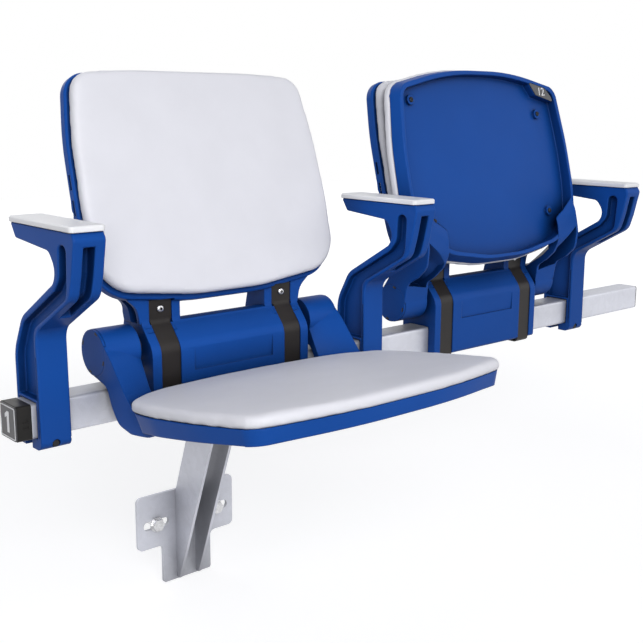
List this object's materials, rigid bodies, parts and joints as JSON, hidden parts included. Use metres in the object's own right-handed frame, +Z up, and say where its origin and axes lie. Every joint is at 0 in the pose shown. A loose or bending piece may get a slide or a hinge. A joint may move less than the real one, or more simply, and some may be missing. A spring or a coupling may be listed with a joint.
{
  "type": "stadium seat",
  "caption": "Beam-mounted stadium seating: tip-up seats with padded backs and pans, armrests between them and a slotted wall bracket under the beam.",
  "frame": {"origin": "on the wall face of the bracket, midway between its two bolts", "axes": "+X along the beam to the sitter's left-hand end in the picture's right, +Y into the wall, +Z up"},
  "size_m": [1.5015, 0.5552, 0.8646],
  "materials": {
    "blue_plastic": "satin, moulded",
    "white_pad": "smooth coated fabric",
    "white_plastic": "satin",
    "galvanised_steel": "hot-dip galvanised",
    "black_strap": "satin powder coat",
    "black_plastic": "moulded",
    "bright_screw": "zinc plated",
    "black_rubber": "matt",
    "grey_plate": "printed plate",
    "bearing_plastic": "moulded bearing plastic",
    "plated_tube": "zinc plated tube"
  },
  "bodies": {
    "frame": {"armrest_body_left": "blue_plastic", "armrest_body_middle": "blue_plastic", "armrest_body_right": "blue_plastic", "armrest_clamp_bolts": "bright_screw", "armrest_clamp_nuts": "bright_screw", "armrest_pad_left": "white_plastic", "armrest_pad_middle": "white_plastic", "armrest_pad_right": "white_plastic", "beam_end_plug": "black_plastic", "beam_tube": "galvanised_steel", "bracket_saddle_bolts": "bright_screw", "bracket_saddle_plate": "galvanised_steel", "bracket_wall_bolts": "bright_screw", "bracket_wall_plate": "galvanised_steel", "bracket_wall_washers": "bright_screw", "bracket_web_left": "galvanised_steel", "bracket_web_right": "galvanised_steel", "left_axle": "plated_tube", "left_back_cushion": "white_pad", "left_back_moulding": "blue_plastic", "left_clamp_straps": "black_strap", "left_stop_pins": "bright_screw", "left_strap_pads": "black_rubber", "left_strap_screws": "bright_screw", "marker_block": "black_plastic", "marker_figure": "white_plastic", "marker_plate": "grey_plate", "right_axle": "plated_tube", "right_back_cushion": "white_pad", "right_back_moulding": "blue_plastic", "right_clamp_straps": "black_strap", "right_stop_pins": "bright_screw", "right_strap_pads": "black_rubber", "right_strap_screws": "bright_screw"},
    "left_pan": {"left_hub_bushes": "bearing_plastic", "left_hub_caps": "blue_plastic", "left_number_plate": "grey_plate", "left_pan_cushion": "white_pad", "left_pan_moulding": "blue_plastic", "left_pan_screws": "bright_screw"},
    "right_pan": {"right_hub_bushes": "bearing_plastic", "right_hub_caps": "blue_plastic", "right_number_plate": "grey_plate", "right_pan_cushion": "white_pad", "right_pan_moulding": "blue_plastic", "right_pan_screws": "bright_screw"}
  },
  "joints": [
    {"name": "left_pan_hinge", "type": "hinge", "parent": "frame", "child": "left_pan", "pos_m": [0, -0.109, 0.339], "axis": [-1, 0, 0], "range_deg": [0, 94.5]},
    {"name": "right_pan_hinge", "type": "hinge", "parent": "frame", "child": "right_pan", "pos_m": [0.6, -0.109, 0.339], "axis": [1, 0, 0], "range_deg": [0, 94.5]}
  ]
}
